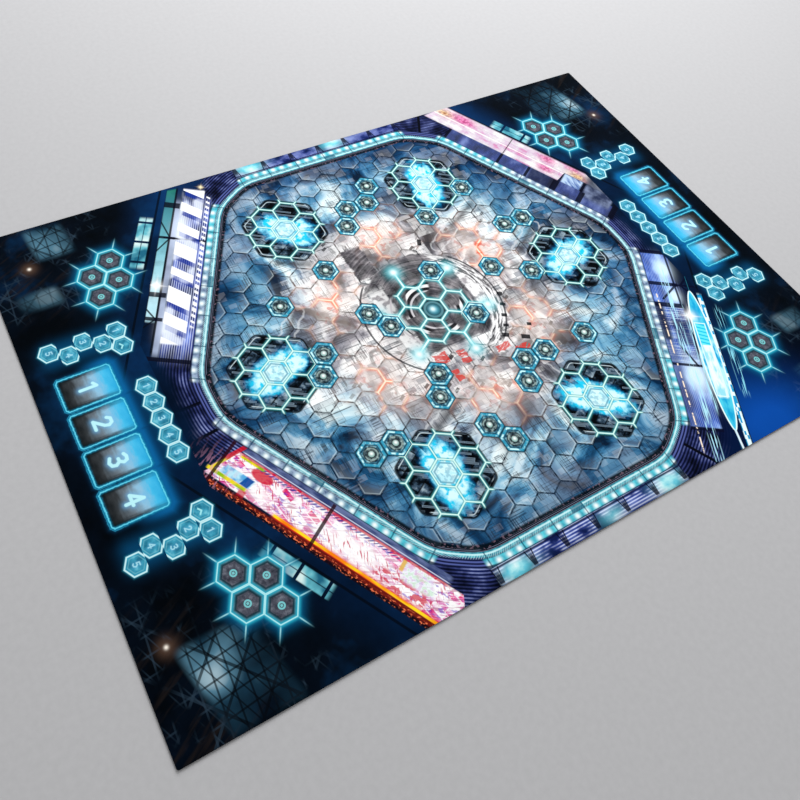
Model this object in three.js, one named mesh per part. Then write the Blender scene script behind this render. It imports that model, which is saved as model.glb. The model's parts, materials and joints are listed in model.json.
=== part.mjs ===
// A flat tabletop gaming mat: a printed woven cloth, bonded by a thin adhesive
// film to a foam rubber base. Millimetres, +Z up, the origin on the table
// surface under the middle of the mat, +X along its long side.

import * as THREE from "three";

// Driving dimensions.
const MAT_LENGTH = 900;
const MAT_WIDTH = 600;
const CORNER_RADIUS = 2;
const ARC_DIVISIONS = 6;

// The layers from the table upwards. Their thicknesses add up to 2 mm.
const RUBBER_BASE = {
  name: "rubber_base",
  thickness: 1.5,
  finish: { color: 0x17181a, roughness: 0.9, metalness: 0 },
};
const BONDING_FILM = {
  name: "bonding_film",
  thickness: 0.125,
  finish: { color: 0x6f7478, roughness: 0.5, metalness: 0 },
};
const PRINTED_CLOTH = {
  name: "printed_cloth_face",
  thickness: 0.375,
  finish: { color: 0x2a6f96, roughness: 0.8, metalness: 0 },
};

// A rectangle centred on the origin, with its four corners cut to a small arc.
function roundedRectangle(length, width, radius) {
  const cornerX = length / 2 - radius;
  const cornerY = width / 2 - radius;
  const quarter = Math.PI / 2;
  const outline = new THREE.Shape();
  outline.absarc(cornerX, cornerY, radius, 0, quarter);
  outline.absarc(-cornerX, cornerY, radius, quarter, 2 * quarter);
  outline.absarc(-cornerX, -cornerY, radius, 2 * quarter, 3 * quarter);
  outline.absarc(cornerX, -cornerY, radius, 3 * quarter, 4 * quarter);
  outline.closePath();
  return outline;
}

// One layer of the mat: a flat closed plate whose underside is at this height.
function plate({ name, thickness, finish }, outline, height) {
  const geometry = new THREE.ExtrudeGeometry(outline, {
    depth: thickness,
    bevelEnabled: false,
    curveSegments: ARC_DIVISIONS,
  });
  const mesh = new THREE.Mesh(geometry, new THREE.MeshStandardMaterial(finish));
  mesh.name = name;
  mesh.position.z = height;
  return mesh;
}

// The sheets are bonded together first and cut afterwards, so every layer has
// the same outline and the cut edge is flush all round.
const outline = roundedRectangle(MAT_LENGTH, MAT_WIDTH, CORNER_RADIUS);
const mat = new THREE.Group();

// The foam rubber lies on the table and grips it, the film holds the cloth,
// and the woven cloth on top carries the dye-printed playing field.
let height = 0;
for (const layer of [RUBBER_BASE, BONDING_FILM, PRINTED_CLOTH]) {
  mat.add(plate(layer, outline, height));
  height += layer.thickness;
}

export default mat;
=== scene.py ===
"""A printed gaming mat lying flat: cloth face, bonding film and foam rubber base."""

import json
import math

import bmesh
import bpy
from mathutils import Matrix, Vector

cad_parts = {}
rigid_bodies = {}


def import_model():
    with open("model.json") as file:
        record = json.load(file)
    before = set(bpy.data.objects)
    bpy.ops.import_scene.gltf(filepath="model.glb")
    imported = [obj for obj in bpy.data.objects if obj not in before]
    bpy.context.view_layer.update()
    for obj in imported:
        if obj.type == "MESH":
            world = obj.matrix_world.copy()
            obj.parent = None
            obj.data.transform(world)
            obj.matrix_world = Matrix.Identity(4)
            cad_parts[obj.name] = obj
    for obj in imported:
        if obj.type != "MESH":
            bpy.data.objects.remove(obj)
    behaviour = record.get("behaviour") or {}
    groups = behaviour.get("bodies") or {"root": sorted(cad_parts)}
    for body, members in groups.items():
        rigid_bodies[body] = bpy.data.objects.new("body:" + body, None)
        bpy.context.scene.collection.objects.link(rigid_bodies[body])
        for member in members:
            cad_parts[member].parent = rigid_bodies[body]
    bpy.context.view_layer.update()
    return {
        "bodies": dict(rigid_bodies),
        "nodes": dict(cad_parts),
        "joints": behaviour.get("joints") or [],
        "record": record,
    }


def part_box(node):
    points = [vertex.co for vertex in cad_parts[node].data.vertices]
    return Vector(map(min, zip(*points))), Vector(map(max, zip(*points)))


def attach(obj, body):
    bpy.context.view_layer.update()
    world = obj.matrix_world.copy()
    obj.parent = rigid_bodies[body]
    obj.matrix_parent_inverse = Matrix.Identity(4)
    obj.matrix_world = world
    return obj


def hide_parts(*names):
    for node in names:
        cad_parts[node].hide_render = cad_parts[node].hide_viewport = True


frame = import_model()

MM = 0.001
SIXTH = math.pi / 3
HEX_SLOPE = math.sqrt(3) / 2

# The cut mat.
CUT_CORNER = 2.0 * MM
EDGE_ROLL = 0.15 * MM
ARC_STEPS = 8
GRID_PITCH = 30 * MM
WEAVE_PITCH = 0.9 * MM
GRIP_PITCH = 2.4 * MM
PORE_SIZE = 0.35 * MM

# The printed layout, in millimetres from the arena's middle cell, and how it lies on the mat.
PRINT_SCALE = 1.0015
PRINT_SHIFT = (-1.6, 1.5)
PRINT_TURN = 0.004
LATTICE_MIDDLE = (-1.5, -0.6)
CELL = 29.68
PAD_DISTANCE = 7 * CELL
ARENA_SIDE = 271.0
ARENA_CORNER = 297.0
ARENA_MIDDLE = (2.6, -0.3)
ARENA_SQUEEZE = (1.019, 0.990)
DOT_PITCH = 12.7
BRACKET_PITCH = 41.5
SEAT_PITCH = 3.4
AISLE_ANGLE = SIXTH / 9
AISLE_RADIUS = 300
END_LINE = 327.0

# Where one part of the print hands over to the next, measured outwards from the arena's border.
RAIL_STARTS = -9.5
RAIL_ENDS = 8.5
SIGN_ENDS = {30: 70.0, 150: 66.0, 210: 64.0, 330: 76.0}


# ---------------------------------------------------------------- node helpers

tree = None


def new_material(name):
    """An empty material whose node tree the helpers below then fill."""
    global tree
    material = bpy.data.materials.new(name)
    material.use_nodes = True
    tree = material.node_tree
    tree.nodes.clear()
    return material


def srgb(code):
    """A colour such as 1fa3e0, as linear red, green, blue and alpha."""
    parts = [int(code[i:i + 2], 16) / 255 for i in (0, 2, 4)]
    linear = [p / 12.92 if p <= 0.04045 else ((p + 0.055) / 1.055) ** 2.4 for p in parts]
    return (*linear, 1.0)


class Field:
    """A number that varies over the surface. Arithmetic on it adds Math nodes."""

    def __init__(self, socket):
        self.socket = socket

    def __add__(self, other):
        return maths("ADD", self, other)

    def __sub__(self, other):
        return maths("SUBTRACT", self, other)

    def __mul__(self, other):
        return maths("MULTIPLY", self, other)

    def __truediv__(self, other):
        return maths("DIVIDE", self, other)

    def __radd__(self, other):
        return maths("ADD", other, self)

    def __rsub__(self, other):
        return maths("SUBTRACT", other, self)

    def __rmul__(self, other):
        return maths("MULTIPLY", other, self)

    def __neg__(self):
        return maths("MULTIPLY", self, -1.0)

    def __abs__(self):
        return maths("ABSOLUTE", self)

    def __gt__(self, other):
        return maths("GREATER_THAN", self, other)

    def __lt__(self, other):
        return maths("LESS_THAN", self, other)


def feed(socket, value):
    """Links a field or an output socket to an input, or sets a plain value."""
    if isinstance(value, Field):
        value = value.socket
    if isinstance(value, bpy.types.NodeSocket):
        tree.links.new(value, socket)
    else:
        socket.default_value = value


def maths(operation, *values):
    node = tree.nodes.new("ShaderNodeMath")
    node.operation = operation
    for socket, value in zip(node.inputs, values):
        feed(socket, value)
    return Field(node.outputs[0])


def smallest(*values):
    result = values[0]
    for value in values[1:]:
        result = maths("MINIMUM", result, value)
    return result


def largest(*values):
    result = values[0]
    for value in values[1:]:
        result = maths("MAXIMUM", result, value)
    return result


def ease(value, start, end):
    """0 at start and before, 1 at end and after, smooth in between."""
    node = tree.nodes.new("ShaderNodeMapRange")
    node.interpolation_type = "SMOOTHSTEP"
    feed(node.inputs["Value"], value)
    node.inputs["From Min"].default_value = start
    node.inputs["From Max"].default_value = end
    return Field(node.outputs["Result"])


def stroke(distance, half_width, soft=0.6):
    """1 on a line of this half width, fading to 0 over the soft width beside it."""
    return ease(abs(distance), half_width + soft, half_width)


def bloom(distance, reach):
    """A soft glow, 1 at no distance and near 0 at twice the reach."""
    return maths("EXPONENT", distance * distance * (-1.0 / reach**2))


def choose(when, yes, no):
    """The first value where the switch is 1 and the second where it is 0."""
    return maths("MULTIPLY_ADD", when, yes - no, no)


class Point:
    """A place on the print, in millimetres."""

    def __init__(self, x, y):
        self.x = x
        self.y = y

    def __sub__(self, other):
        return Point(self.x - other[0], self.y - other[1])

    def __add__(self, other):
        return Point(self.x + other[0], self.y + other[1])

    def __getitem__(self, i):
        return (self.x, self.y)[i]

    def turned(self, angle):
        """The same place in axes turned by a fixed angle."""
        cos, sin = math.cos(angle), math.sin(angle)
        return Point(
            maths("MULTIPLY_ADD", self.y, sin, self.x * cos),
            maths("MULTIPLY_ADD", self.y, cos, self.x * -sin),
        )

    def scaled(self, x, y=None):
        return Point(self.x * x, self.y * (x if y is None else y))

    def length(self):
        return maths("SQRT", maths("MULTIPLY_ADD", self.x, self.x, self.y * self.y))

    def vector(self):
        node = tree.nodes.new("ShaderNodeCombineXYZ")
        feed(node.inputs[0], self.x)
        feed(node.inputs[1], self.y)
        return node.outputs[0]


def split_vector(vector):
    """The three numbers of a vector socket."""
    split = tree.nodes.new("ShaderNodeSeparateXYZ")
    feed(split.inputs[0], vector)
    return [Field(socket) for socket in split.outputs]


def object_place():
    """Where a shaded point lies in its object's own axes, in metres."""
    return tree.nodes.new("ShaderNodeTexCoord").outputs["Object"]


def print_point():
    """Where a shaded point lies on the print."""
    x, y, _ = split_vector(object_place())
    point = Point(x * (1 / MM), y * (1 / MM)) - PRINT_SHIFT
    return point.turned(PRINT_TURN).scaled(1 / PRINT_SCALE)


def on_print(x, y):
    """A place on the mat, in metres, as a place on the print, in the print's millimetres."""
    place = Matrix.Rotation(-PRINT_TURN, 2) @ (Vector((x, y)) / MM - Vector(PRINT_SHIFT))
    return place / PRINT_SCALE


def on_mat(x, y):
    """A place on the print as a place on the mat, in metres."""
    place = Matrix.Rotation(PRINT_TURN, 2) @ Vector((x, y)) * PRINT_SCALE
    return (place + Vector(PRINT_SHIFT)) * MM


def cloud(point, size, detail=2.0, roughness=0.5, distortion=0.0):
    """Soft noise from 0 to 1, whose blobs are about this size in millimetres."""
    node = tree.nodes.new("ShaderNodeTexNoise")
    node.noise_dimensions = "2D"
    feed(node.inputs["Vector"], point.vector())
    node.inputs["Scale"].default_value = 1.0 / size
    node.inputs["Detail"].default_value = detail
    node.inputs["Roughness"].default_value = roughness
    node.inputs["Distortion"].default_value = distortion
    return Field(node.outputs[0])


def chance(x, y):
    """A random number from 0 to 1 for each pair of numbers."""
    node = tree.nodes.new("ShaderNodeTexWhiteNoise")
    node.noise_dimensions = "2D"
    feed(node.inputs["Vector"], Point(x, y).vector())
    return Field(node.outputs["Value"])


def mix(under, over, amount, mode="MIX"):
    """Lays one colour over another by an amount."""
    node = tree.nodes.new("ShaderNodeMix")
    node.data_type = "RGBA"
    node.blend_type = mode
    feed(node.inputs[0], amount)
    feed(node.inputs[6], under)
    feed(node.inputs[7], srgb(over) if isinstance(over, str) else over)
    return node.outputs[2]


def deepen(colour, amount):
    """Darkens the middle tones and makes colours stronger, but leaves white alone."""
    return mix(colour, colour, amount, "MULTIPLY")


def ramp(value, *stops):
    """A colour ramp. Each stop is a place from 0 to 1 and a colour code."""
    node = tree.nodes.new("ShaderNodeValToRGB")
    elements = node.color_ramp.elements
    while len(elements) < len(stops):
        elements.new(0.5)
    for element, (place, code) in zip(elements, stops):
        element.position = place
        element.color = srgb(code)
    feed(node.inputs[0], value)
    return node.outputs[0]


# ---------------------------------------------------------------- print shapes


def pointed_hex(point):
    """Distance across flats, halved, of a hexagon with upright sides."""
    x = abs(point.x)
    return largest(x, maths("MULTIPLY_ADD", abs(point.y), HEX_SLOPE, x * 0.5))


def flat_hex(point):
    """The same for a hexagon with a flat top."""
    return pointed_hex(Point(point.y, point.x))


def hex_cells(point, pitch):
    """The nearest cell of a grid of upright-sided hexagons: the point seen from it, and its middle."""
    rise = 2 * HEX_SLOPE * pitch
    corners = []
    for shift_x, shift_y in ((0, 0), (pitch / 2, rise / 2)):
        corners.append(
            Point(
                maths("WRAP", point.x - shift_x, pitch / 2, -pitch / 2),
                maths("WRAP", point.y - shift_y, rise / 2, -rise / 2),
            )
        )
    first, second = corners
    nearer = first.length() < second.length()
    local = Point(choose(nearer, first.x, second.x), choose(nearer, first.y, second.y))
    return local, Point(point.x - local.x, point.y - local.y)


def six_fold(point, first):
    """The point turned into the sector round a first direction, and the sector's number."""
    angle = maths("ARCTAN2", point.y, point.x) - first
    sector = maths("ROUND", angle / SIXTH)
    turn = sector * SIXTH + first
    cos = maths("COSINE", turn)
    sin = maths("SINE", turn)
    along = maths("MULTIPLY_ADD", point.x, cos, point.y * sin)
    aside = maths("MULTIPLY_ADD", point.y, cos, -(point.x * sin))
    return Point(along, aside), sector


def arena_point(point):
    """The point in the arena's own axes, where its border is a regular hexagon."""
    return (point - ARENA_MIDDLE).scaled(*ARENA_SQUEEZE)


def arena_rim(point):
    """How far a point of the arena's own axes lies outside its bright border."""
    side = flat_hex(point) - ARENA_SIDE
    corner = pointed_hex(point) - ARENA_CORNER
    return maths("SMOOTH_MAX", side, corner, 14.0)


def beside(point, direction):
    """A point seen from the middle of one side of the arena: x runs along the side and y outwards."""
    turned = point.turned(math.radians(direction))
    return Point(turned.y, turned.x - ARENA_SIDE)


def glow_at(point, x, y, squash, reach):
    """A soft glow round a place, stretched along x when the squash is below 1."""
    return bloom((point - (x, y)).scaled(squash, 1).length(), reach)


def repeat(value, pitch):
    """Distance from the nearest of a row of places this far apart."""
    return maths("WRAP", value, pitch / 2, -pitch / 2)


def window(value, start, end, soft=1.0):
    """1 between two places and 0 outside them."""
    middle = (start + end) / 2
    half = (end - start) / 2
    return ease(abs(value - middle), half + soft, half - soft)


def box(point, half_x, half_y):
    """Below 0 inside a rectangle, and above 0 outside."""
    return largest(abs(point.x) - half_x, abs(point.y) - half_y)


def segment(point, start, end):
    """Distance from a straight line between two places."""
    (ax, ay), (bx, by) = start, end
    length = math.hypot(bx - ax, by - ay)
    local = (point - start).turned(math.atan2(by - ay, bx - ax))
    beyond = largest(abs(local.x - length / 2) - length / 2, 0.0)
    return Point(beyond, local.y).length()


def plates(point, wide, high, seed):
    """A field of rectangular panels: distance inside each panel's edge, and its random number."""
    row = maths("FLOOR", point.y / high + seed)
    slide = chance(row, seed)
    across = point.x / wide + slide * 3.0
    column = maths("FLOOR", across)
    luck = chance(column, row)
    inside_x = 0.5 - abs(across - column - 0.5)
    inside_y = 0.5 - abs(maths("FRACT", point.y / high + seed) - 0.5)
    return smallest(inside_x * wide, inside_y * high), luck


# The corners of the line that draws each numeral, one unit high.
NUMERALS = (
    (1, ((-0.18, 0.30), (0.03, 0.45), (0.03, -0.45))),
    (2, (
        (-0.23, 0.27), (-0.12, 0.44), (0.12, 0.44), (0.24, 0.27), (0.18, 0.05),
        (-0.24, -0.44), (0.26, -0.44),
    )),
    (3, ((-0.22, 0.36), (-0.05, 0.45), (0.15, 0.42), (0.22, 0.24), (0.10, 0.04), (-0.06, 0.03))),
    (3, ((0.10, 0.04), (0.25, -0.16), (0.20, -0.37), (0.00, -0.46), (-0.24, -0.36))),
    (4, ((0.12, -0.46), (0.12, 0.46), (-0.27, -0.14), (0.28, -0.14))),
    (5, ((0.22, 0.44), (-0.17, 0.44), (-0.21, 0.05), (0.08, 0.10), (0.25, -0.14))),
    (5, ((0.25, -0.14), (0.14, -0.40), (-0.08, -0.46), (-0.24, -0.36))),
)


def digit(point, number):
    """Distance from the middle of the line that draws a numeral."""
    gaps = []
    for value, corners in NUMERALS:
        wrong = ease(abs(number - value), 0.3, 0.6)
        line = smallest(*(segment(point, start, end) for start, end in zip(corners, corners[1:])))
        gaps.append(line + wrong * 9.0)
    return smallest(*gaps)


# ---------------------------------------------------------------- arena print

# Cells that carry a ringed target, as columns and rows of the hexagon grid.
TARGET_CELLS = (
    (1, 8), (-0.5, 7), (0.5, 7), (-1, 6), (5, 6), (2.5, 5), (-3, 4),
    (-5.5, 3), (5.5, 3), (6.5, 3), (1, 2), (-2.5, 1), (3.5, 1),
    (-5, 0), (-2, 0), (5, 0), (-5.5, -1), (1.5, -1), (-1.5, -3),
    (-2, -4), (2, -4), (3, -4), (5, -4), (-5.5, -5), (-4.5, -5),
    (1.5, -5), (-1, -6), (-0.5, -7),
)


def union(point, half_sizes_at, turn=0.0):
    """Below 0 inside any of a few rectangles, each given as its middle and half sizes."""
    gaps = [box((point - (x, y)).turned(turn), half_x, half_y) for x, y, half_x, half_y in half_sizes_at]
    return smallest(*gaps)


def arena_floor(point, local, cell, reach):
    """Pale metal flooring, blue towards the border, with panels, cables and shadows."""
    smoke = cloud(point, 66, detail=5, roughness=0.55, distortion=0.8)
    tone = smoke * 2.3 - 0.63 + (chance(cell.x, cell.y) - 0.5) * 0.12
    warm_grey = ramp(
        tone,
        (0.08, "2c2b33"), (0.26, "7f7e88"), (0.42, "b9b7be"), (0.56, "e6e3e4"), (0.74, "ffffff"),
    )
    blue_grey = ramp(
        tone,
        (0.1, "0a2640"), (0.3, "27658e"), (0.46, "5499be"), (0.64, "94cbe2"), (0.88, "ecfdff"),
    )
    drift = cloud(point - (500, 200), 60, detail=2) - 0.5
    blueness = ease(reach + drift * 130, 105, 215)
    colour = mix(warm_grey, blue_grey, blueness)
    upper = ease(point.y + point.x * 0.4, -120, 160)
    colour = mix(colour, "2a78b0", ease(reach + drift * 70, 180, 262) * (0.5 + upper * 0.3), "MULTIPLY")

    # Panels, whose seams fade in and out, and a few dark or white boxes.
    plain = 1 - blueness * 0.75
    for wide, high, seed, seam_width, darkness in (
        (64, 41, 3.3, 0.35, 0.7), (23, 31, 7.7, 0.25, 0.5), (9.5, 6.5, 1.2, 0.2, 0.4),
    ):
        inside, luck = plates(point, wide, high, seed)
        seam = stroke(inside, seam_width, 0.4)
        colour = mix(colour, "1a2636", seam * ease(luck, 0.5, 0.62) * darkness)
        colour = mix(colour, "5d6c7c", ease(luck, 0.9, 0.92) * plain * 0.5)
        colour = mix(colour, "ffffff", ease(luck, 0.1, 0.08) * plain * 0.5)
    inside, luck = plates(point.turned(0.5), 8.5, 5.0, 5.1)
    colour = mix(colour, "10131c", ease(luck, 0.97, 0.975) * ease(inside, 0.4, 1.0) * plain * 0.9)

    # Bundles of thin upright and level wires, and a few long cables.
    for wires, clump in (
        (cloud(point.scaled(1, 0.02), 1.5, detail=1), cloud(point.scaled(0.5, 1), 22)),
        (cloud(point.scaled(0.02, 1), 1.7, detail=1), cloud(point.scaled(1, 0.5), 26)),
    ):
        dark = ease(wires, 0.42, 0.37) * ease(clump, 0.52, 0.6)
        colour = mix(colour, "182436", dark * 0.6)
    cables = smallest(abs(point.y - 48), abs(point.y + 26), abs(point.y + 71), abs(abs(point.x) - 12))
    colour = mix(colour, "1c2634", ease(cables, 0.9, 0.4) * ease(cloud(point, 30), 0.4, 0.55) * 0.7)

    # Dark beams that lean towards the middle.
    beams = smallest(
        segment(point, (60, 82), (140, 124)), segment(point, (-112, -146), (-40, -114)),
        segment(point, (-136, 136), (-104, 118)), segment(point, (60, -104), (84, -150)),
        segment(point, (-190, 20), (-150, 64)), segment(point, (150, 30), (196, 60)),
    )
    beams = beams + (cloud(point, 14, detail=3) - 0.5) * 8
    colour = mix(colour, "252833", ease(beams, 8.0, -1.0) * 0.75)
    soot = ease(cloud(point + (250, 90), 34, detail=3, distortion=1.2), 0.4, 0.3)
    colour = mix(colour, "2a2a33", soot * ease(reach, 175, 120) * 0.6)
    colour = mix(colour, "f4f8fa", stroke(beams - 8.6, 0.4, 1.4) * 0.4)

    # Each cell is a raised tile that catches the light on one side.
    edge = CELL / 2 - pointed_hex(local)
    lean = (chance(cell.y, cell.x) - 0.5) * 2.6
    slope = (local.y * maths("COSINE", lean) + local.x * maths("SINE", lean)) * (-1.3 / CELL)
    luck = chance(cell.x, cell.y + 7.0)
    shaded = slope * (0.15 + luck * luck * 0.85)
    colour = mix(colour, "f2ffff", largest(shaded, 0.0) * 0.4)
    colour = mix(colour, "0a2236", largest(-shaded, 0.0) * (0.5 + ease(edge, 5.0, 0.5) * 0.6))
    return deepen(colour, 0.2), edge, shaded


def paint_warm_glow(colour, point, edge):
    """Six patches of hot cream and orange light round the middle of the arena."""
    folded, sector = six_fold(point, SIXTH / 2)
    wobble = cloud(point, 22, detail=3) * 1.8
    strength = 0.75 + chance(sector, 4.0) * 0.35
    heat = bloom((folded - (122, 0)).scaled(1, 0.8).length(), 30) * wobble * strength
    colour = mix(colour, "fdeadf", smallest(heat * 0.65, 0.8))
    flame = bloom(edge, 3.2) * heat * ease(cloud(point, 30), 0.42, 0.58)
    colour = mix(colour, "f07040", smallest(flame * 1.3, 0.85))
    colour = mix(colour, "fff4dc", bloom(edge, 1.1) * smallest(flame * 1.7, 1.0))
    red = ease(cloud(point - (90, 40), 13, detail=2), 0.6, 0.66) * heat
    return mix(colour, "e05a40", smallest(red, 1.0) * 0.6, "MULTIPLY")


def paint_middle(colour, point, edge):
    """The dark machine at the middle: a block, broken rings, chips, lit cells and flares."""
    radius = point.length()
    angle = maths("ARCTAN2", point.y, point.x)
    around = Point(angle * 16, radius)
    wobble = cloud(point, 12, detail=3) - 0.5
    grooves = cloud(around.scaled(0.25, 1.5), 4, detail=2)
    metal = ramp(
        cloud(point, 16, detail=3) * 0.6 + grooves * 0.4,
        (0.34, "141318"), (0.48, "48454c"), (0.6, "7c777c"), (0.7, "a9a4a8"),
    )
    bands = largest(window(point.x, -60, -41, 1.5), window(point.x, 56, 80, 1.5))
    bands = bands * window(point.y, -54, 50, 3)
    pale = ramp(cloud(point, 9, detail=3), (0.35, "a8a4a8"), (0.5, "ffffff"))
    colour = mix(colour, pale, bands * 0.9)
    block = ease(box(point - (8, 8), 47, 60) + wobble * 6, 1.5, -1.5)
    dome = ease(radius + wobble * 12, 86, 82) * ease(point.y, 44, 62)
    tower = ease(box(point - (-46, 96), 14, 24) + wobble * 8, 1.5, -1.5)
    colour = mix(colour, metal, largest(block, dome, tower) * 0.9)
    shadow = bloom((point - (-28, 4)).scaled(1, 0.6).length(), 34) * 0.5
    colour = mix(colour, "141318", shadow)
    shown = ease(cloud(around, 18, detail=1), 0.5, 0.58)
    for ring, half_width, code in (
        (27, 0.8, "d4d2d6"), (31, 1.6, "100f14"), (35, 1.8, "fbf9fa"), (39, 1.4, "17161c"),
        (43, 1.0, "e4e0e3"), (47, 0.6, "1b1a20"), (51, 0.7, "bcb7bc"),
    ):
        colour = mix(colour, code, stroke(radius - ring, half_width, 0.8) * shown * 0.9)

    # A cracked white and black rim on the right, and a thin dark arc on the left.
    patches = cloud(around.scaled(1, 1.3), 5, detail=3, roughness=0.7)
    rim = window(radius, 70, 84, 2) * ease(point.x, 30, 44)
    colour = mix(colour, ramp(patches, (0.44, "1a1a22"), (0.5, "c9c8cc"), (0.56, "ffffff")), rim * 0.85)
    arc = stroke(radius - 87, 0.8, 0.7) * ease(abs(point.y + 4), 70, 64)
    colour = mix(colour, "23242c", arc * 0.85)
    chips = union(point, (
        (88, -13, 3.6, 2.4), (82, -28, 3.6, 2.2), (74, -42, 3.6, 2.4), (67, -55, 3.4, 2.0),
        (58, -66, 4.4, 2.8), (79, -78, 5.4, 3.0), (94, -65, 2.8, 2.2), (41, 95, 2.6, 5.0),
    ), -0.5)
    colour = mix(colour, "14141a", ease(chips, 0.4, -0.4) * 0.95)
    red = union(point, (
        (-30, -62, 8, 7), (-4, -70, 6, 9), (46, -78, 10, 4.5), (68, -88, 9, 4), (-24, -88, 4, 7),
    ))
    red = ease(red + wobble * 7, 0.6, -0.6) * ease(patches, 0.36, 0.46)
    colour = mix(colour, "cf3a32", red * 0.85)

    near = ease(radius, 52, 45)
    colour = mix(colour, "3fb9c4", bloom(edge, 2.8) * near * 0.75)
    colour = mix(colour, "d8fff8", stroke(edge, 0.5, 0.8) * near)
    hub = pointed_hex(point)
    colour = mix(colour, "10222c", ease(hub, 13.6, 12.0) * 0.9)
    colour = mix(colour, "5f8f98", stroke(radius - 10.6, 0.7, 1.4) * 0.8)
    colour = mix(colour, "4fb4cc", bloom(radius, 6.4))
    colour = mix(colour, "e9ffff", bloom((point - (-0.6, 0.8)).length(), 3.2))

    # Six lit spokes that run out to flares, turned round the middle.
    spoke_top = (-CELL / 2, 42.6)
    spin = math.atan2(spoke_top[1] + 24, spoke_top[0])
    folded, _ = six_fold(point, spin)
    away = math.hypot(spoke_top[0], spoke_top[1])
    lean = math.atan2(spoke_top[1], spoke_top[0]) - spin
    start = (away * math.cos(lean), away * math.sin(lean))
    end = (68.4, 0.0)
    spoke = segment(folded, start, end)
    colour = mix(colour, "63dbe2", bloom(spoke, 2.6) * 0.8)
    colour = mix(colour, "e6fffe", stroke(spoke, 0.6, 0.8))
    tip = (folded - end).length()
    colour = mix(colour, "62d8e4", bloom(tip, 9.5) * 0.85)
    return mix(colour, "f4ffff", bloom(tip, 4.4))


def paint_targets(colour, point, local, middle, edge):
    """Ringed cells: a dark outline, a lit rim, a dark dish and a pale ball."""
    places = [(column * CELL, row * CELL * HEX_SLOPE) for column, row in TARGET_CELLS]
    cell_on = smallest(*((middle - place).length() for place in places)) < 3.0
    radius = local.length()
    shade = cloud(point, 4, detail=3)
    glint = ease(cloud(point, 8, detail=2), 0.45, 0.6)
    fill = ramp(shade, (0.3, "1d4a66"), (0.5, "4c8ba2"), (0.68, "9ccfd8"))
    colour = mix(colour, fill, cell_on)
    colour = mix(colour, "06182c", cell_on * ease(edge, 1.5, 0.7) * 0.95)
    colour = mix(colour, "2fa0c2", cell_on * bloom(edge - 2.5, 1.5) * 0.85)
    colour = mix(colour, "d2ffff", cell_on * stroke(edge - 2.6, 0.4, 0.8) * glint)
    colour = mix(colour, "16394e", cell_on * stroke(edge - 4.8, 0.4, 0.7) * 0.8)
    dish = ramp(shade, (0.3, "11181e"), (0.52, "3d4a4e"), (0.72, "8c9c9a"))
    colour = mix(colour, dish, cell_on * ease(radius, 9.8, 8.2) * 0.92)
    colour = mix(colour, "9fb8b4", cell_on * stroke(radius - 6.6, 0.35, 0.7) * glint * 0.7)
    colour = mix(colour, "0b1116", cell_on * ease(radius, 5.2, 4.0) * 0.85)
    colour = mix(colour, "88b4ae", cell_on * ease(radius, 3.9, 2.8))
    return mix(colour, "fdfffe", cell_on * bloom((local - (0.4, 0.5)).length(), 2.0))


def paint_pads(colour, point, edge):
    """Six dark openings of about seven cells each, lit cyan from below."""
    folded, sector = six_fold(point, 0.0)
    pad = folded - (PAD_DISTANCE, 0)
    upright = pad_offset(point, sector)
    outline = maths("SMOOTH_MAX", pointed_hex(upright) - 46.0, flat_hex(upright) - 52.0, 2.0)
    inside = ease(outline, 0.6, -0.6)

    # Machinery in the opening: slate plates, ribs and black gaps.
    inside_panel, luck = plates(point.turned(0.5), 24, 11.0, 2.6)
    fine_panel, fine_luck = plates(point.turned(-0.55), 21, 2.6, 5.2)
    grit = cloud(point, 11, detail=4, roughness=0.6)
    pit = ramp(
        grit * 1.1 + luck * 0.4 - 0.3,
        (0.3, "010307"), (0.44, "0f1c28"), (0.6, "3a5064"), (0.85, "9fb4c0"),
    )
    colour = mix(colour, "030508", ease(outline, 3.0, 1.0) * 0.95)
    colour = mix(colour, pit, inside)
    colour = mix(colour, "020306", stroke(inside_panel, 0.5, 0.6) * inside * 0.85)
    ribs = ease(fine_luck, 0.72, 0.76) * stroke(fine_panel - 0.6, 0.25, 0.4)
    colour = mix(colour, "7d93a4", ribs * inside * 0.7)
    colour = mix(colour, "010204", ease(fine_luck, 0.18, 0.12) * inside * 0.7)
    lit_rim = stroke(outline + 2.2, 0.3, 0.5) * ease(cloud(point, 22), 0.42, 0.55)
    colour = mix(colour, "c9dbe2", lit_rim * 0.8)

    # Two ragged lobes of light, towards the middle of the arena and away from it.
    radius = pad.length()
    angle = maths("ARCTAN2", pad.y, pad.x)
    lobes = maths("COSINE", (angle - 0.35) * 2.0)
    ragged = cloud(point, 13, detail=3, roughness=0.6) - 0.5
    steps = chance(maths("FLOOR", angle * 1.7 + sector), sector) - 0.5
    shaped = radius * (1.0 - lobes * 0.34) + ragged * 18 + steps * 8
    colour = mix(colour, "0f6fb4", ease(shaped, 34, 20) * inside * 0.8)
    colour = mix(colour, "22ccf2", ease(shaped, 30, 20) * inside)
    hot = ease(cloud(point, 9, detail=3), 0.36, 0.54) * ease(shaped, 28, 16)
    colour = mix(colour, "d8fdff", largest(hot, ease(radius, 15, 9) * 0.75) * inside)
    mottle = ease(cloud(point, 5, detail=3), 0.46, 0.6) * ease(radius, 12, 8)
    colour = mix(colour, "7fb6cc", mottle * 0.6)
    colour = mix(colour, "5f9cb2", stroke(pointed_hex(upright) - 10.8, 0.5, 0.9) * 0.8)
    lines = ease(outline, 5.0, 1.5)
    colour = mix(colour, "0b2634", stroke(edge, 1.4, 0.8) * lines * 0.5)
    colour = mix(colour, "5fd0d8", bloom(edge, 1.7) * lines * 0.6)
    return mix(colour, "d6fbf2", stroke(edge, 0.42, 0.55) * lines)


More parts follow.
